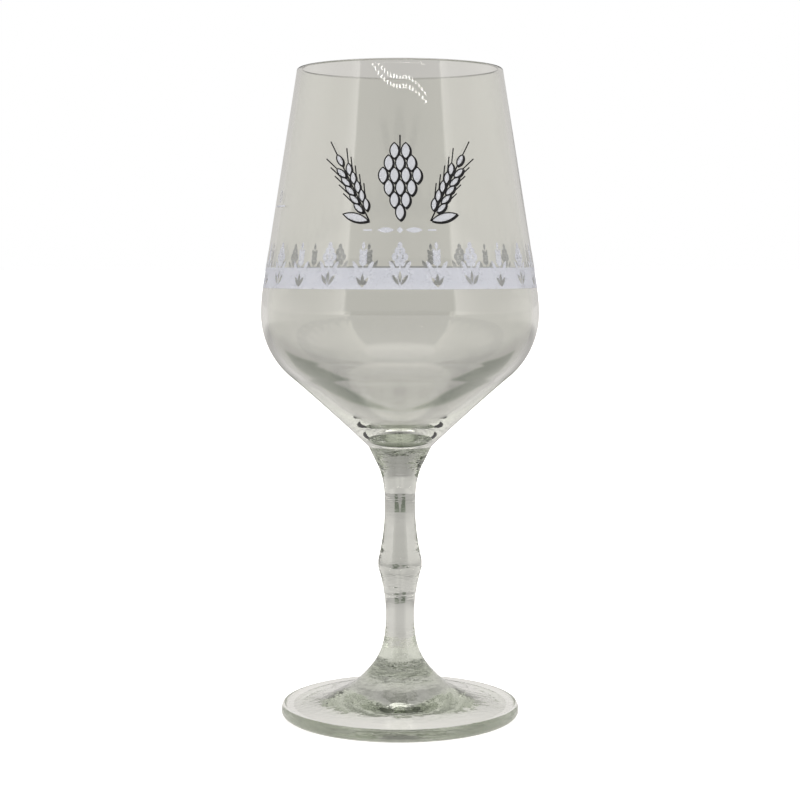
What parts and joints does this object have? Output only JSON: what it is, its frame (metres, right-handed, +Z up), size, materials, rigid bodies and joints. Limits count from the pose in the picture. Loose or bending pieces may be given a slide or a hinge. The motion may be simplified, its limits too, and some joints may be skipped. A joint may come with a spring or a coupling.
{
  "type": "stemmed beer glass",
  "caption": "Clear stemmed beer glass: tapered bowl with a round shoulder, waisted stem with a ring, flared disc foot, and white and black enamel prints of hops and barley.",
  "frame": {"origin": "middle of the foot's resting plane", "axes": "+Z up along the glass's axis, -Y towards the printed front"},
  "size_m": [0.0916, 0.0916, 0.214],
  "materials": {
    "clear_glass": "fire-polished clear soda-lime glass with a faint warm grey-green tint",
    "white_enamel": "fired white glass enamel, satin, slightly translucent",
    "black_enamel": "fired black glass enamel, satin"
  },
  "bodies": {
    "root": {"bowl": "clear_glass", "stem": "clear_glass", "foot": "clear_glass", "emblem_fill": "white_enamel", "emblem_outline": "black_enamel", "rule_ornament": "white_enamel", "frieze": "white_enamel", "fill_mark": "white_enamel"}
  },
  "joints": []
}
